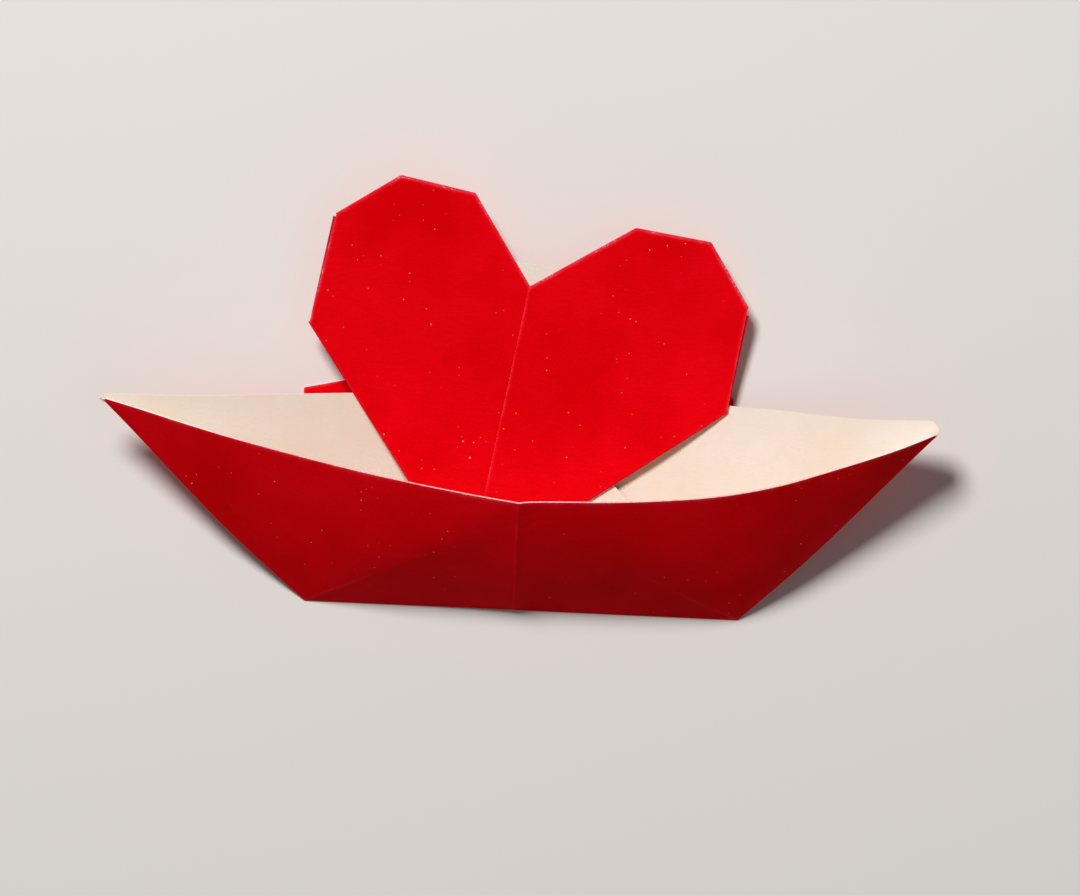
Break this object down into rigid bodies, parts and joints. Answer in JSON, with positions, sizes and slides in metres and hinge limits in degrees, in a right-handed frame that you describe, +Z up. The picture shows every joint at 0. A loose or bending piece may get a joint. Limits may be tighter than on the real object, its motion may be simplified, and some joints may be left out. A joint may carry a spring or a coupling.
{
  "type": "paper boat",
  "caption": "Folded paper boat lying on its back, red outside and white inside, with a folded heart standing out of its open hull.",
  "frame": {"origin": "on the surface the boat lies on, under the middle of the keel's length and half a wall's height from the keel towards the gunwale", "axes": "+X from the left tip to the right tip, +Y from the keel to the gunwale and the heart, +Z up from the rear panel that it lies on"},
  "size_m": [0.1444, 0.0758, 0.0302],
  "materials": {
    "paper": "matt coloured paper, red on one side and cream white on the other, with worn folds"
  },
  "bodies": {
    "root": {"folded_boat": "paper"}
  },
  "joints": []
}
